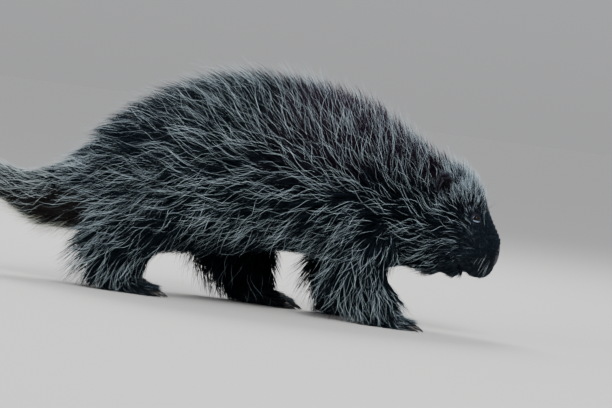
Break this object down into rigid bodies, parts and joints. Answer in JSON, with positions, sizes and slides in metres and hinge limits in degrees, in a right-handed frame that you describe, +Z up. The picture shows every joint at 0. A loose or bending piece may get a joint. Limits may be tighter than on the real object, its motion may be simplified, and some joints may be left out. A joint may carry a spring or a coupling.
{
  "type": "north american porcupine",
  "caption": "Life-size walking porcupine, head low, with a thick arched coat of long lying and standing hair, short clawed feet and a short bushy tail.",
  "frame": {"origin": "on the floor, under the middle of the whole animal's length and width", "axes": "+Z up; +X from the tail towards the nose; +Y to the animal's left"},
  "size_m": [0.731, 0.2489, 0.3256],
  "materials": {
    "coat": "coarse near-black hair with silvery tips",
    "skin": "matt dark skin with short hair",
    "claw": "dark satin horn",
    "eye": "wet gloss"
  },
  "bodies": {
    "root": {"head": "coat", "neck": "coat", "torso": "coat", "tail": "coat", "fore_leg_r": "coat", "fore_leg_l": "coat", "hind_leg_r": "coat", "hind_leg_l": "coat", "fore_foot_r": "skin", "fore_foot_l": "skin", "hind_foot_r": "skin", "hind_foot_l": "skin", "ear_r": "skin", "ear_l": "skin", "eye_r": "eye", "eye_l": "eye", "fore_foot_r_claw_1": "claw", "fore_foot_r_claw_2": "claw", "fore_foot_r_claw_3": "claw", "fore_foot_r_claw_4": "claw", "fore_foot_l_claw_1": "claw", "fore_foot_l_claw_2": "claw", "fore_foot_l_claw_3": "claw", "fore_foot_l_claw_4": "claw", "hind_foot_r_claw_1": "claw", "hind_foot_r_claw_2": "claw", "hind_foot_r_claw_3": "claw", "hind_foot_r_claw_4": "claw", "hind_foot_r_claw_5": "claw", "hind_foot_l_claw_1": "claw", "hind_foot_l_claw_2": "claw", "hind_foot_l_claw_3": "claw", "hind_foot_l_claw_4": "claw", "hind_foot_l_claw_5": "claw"}
  },
  "joints": []
}
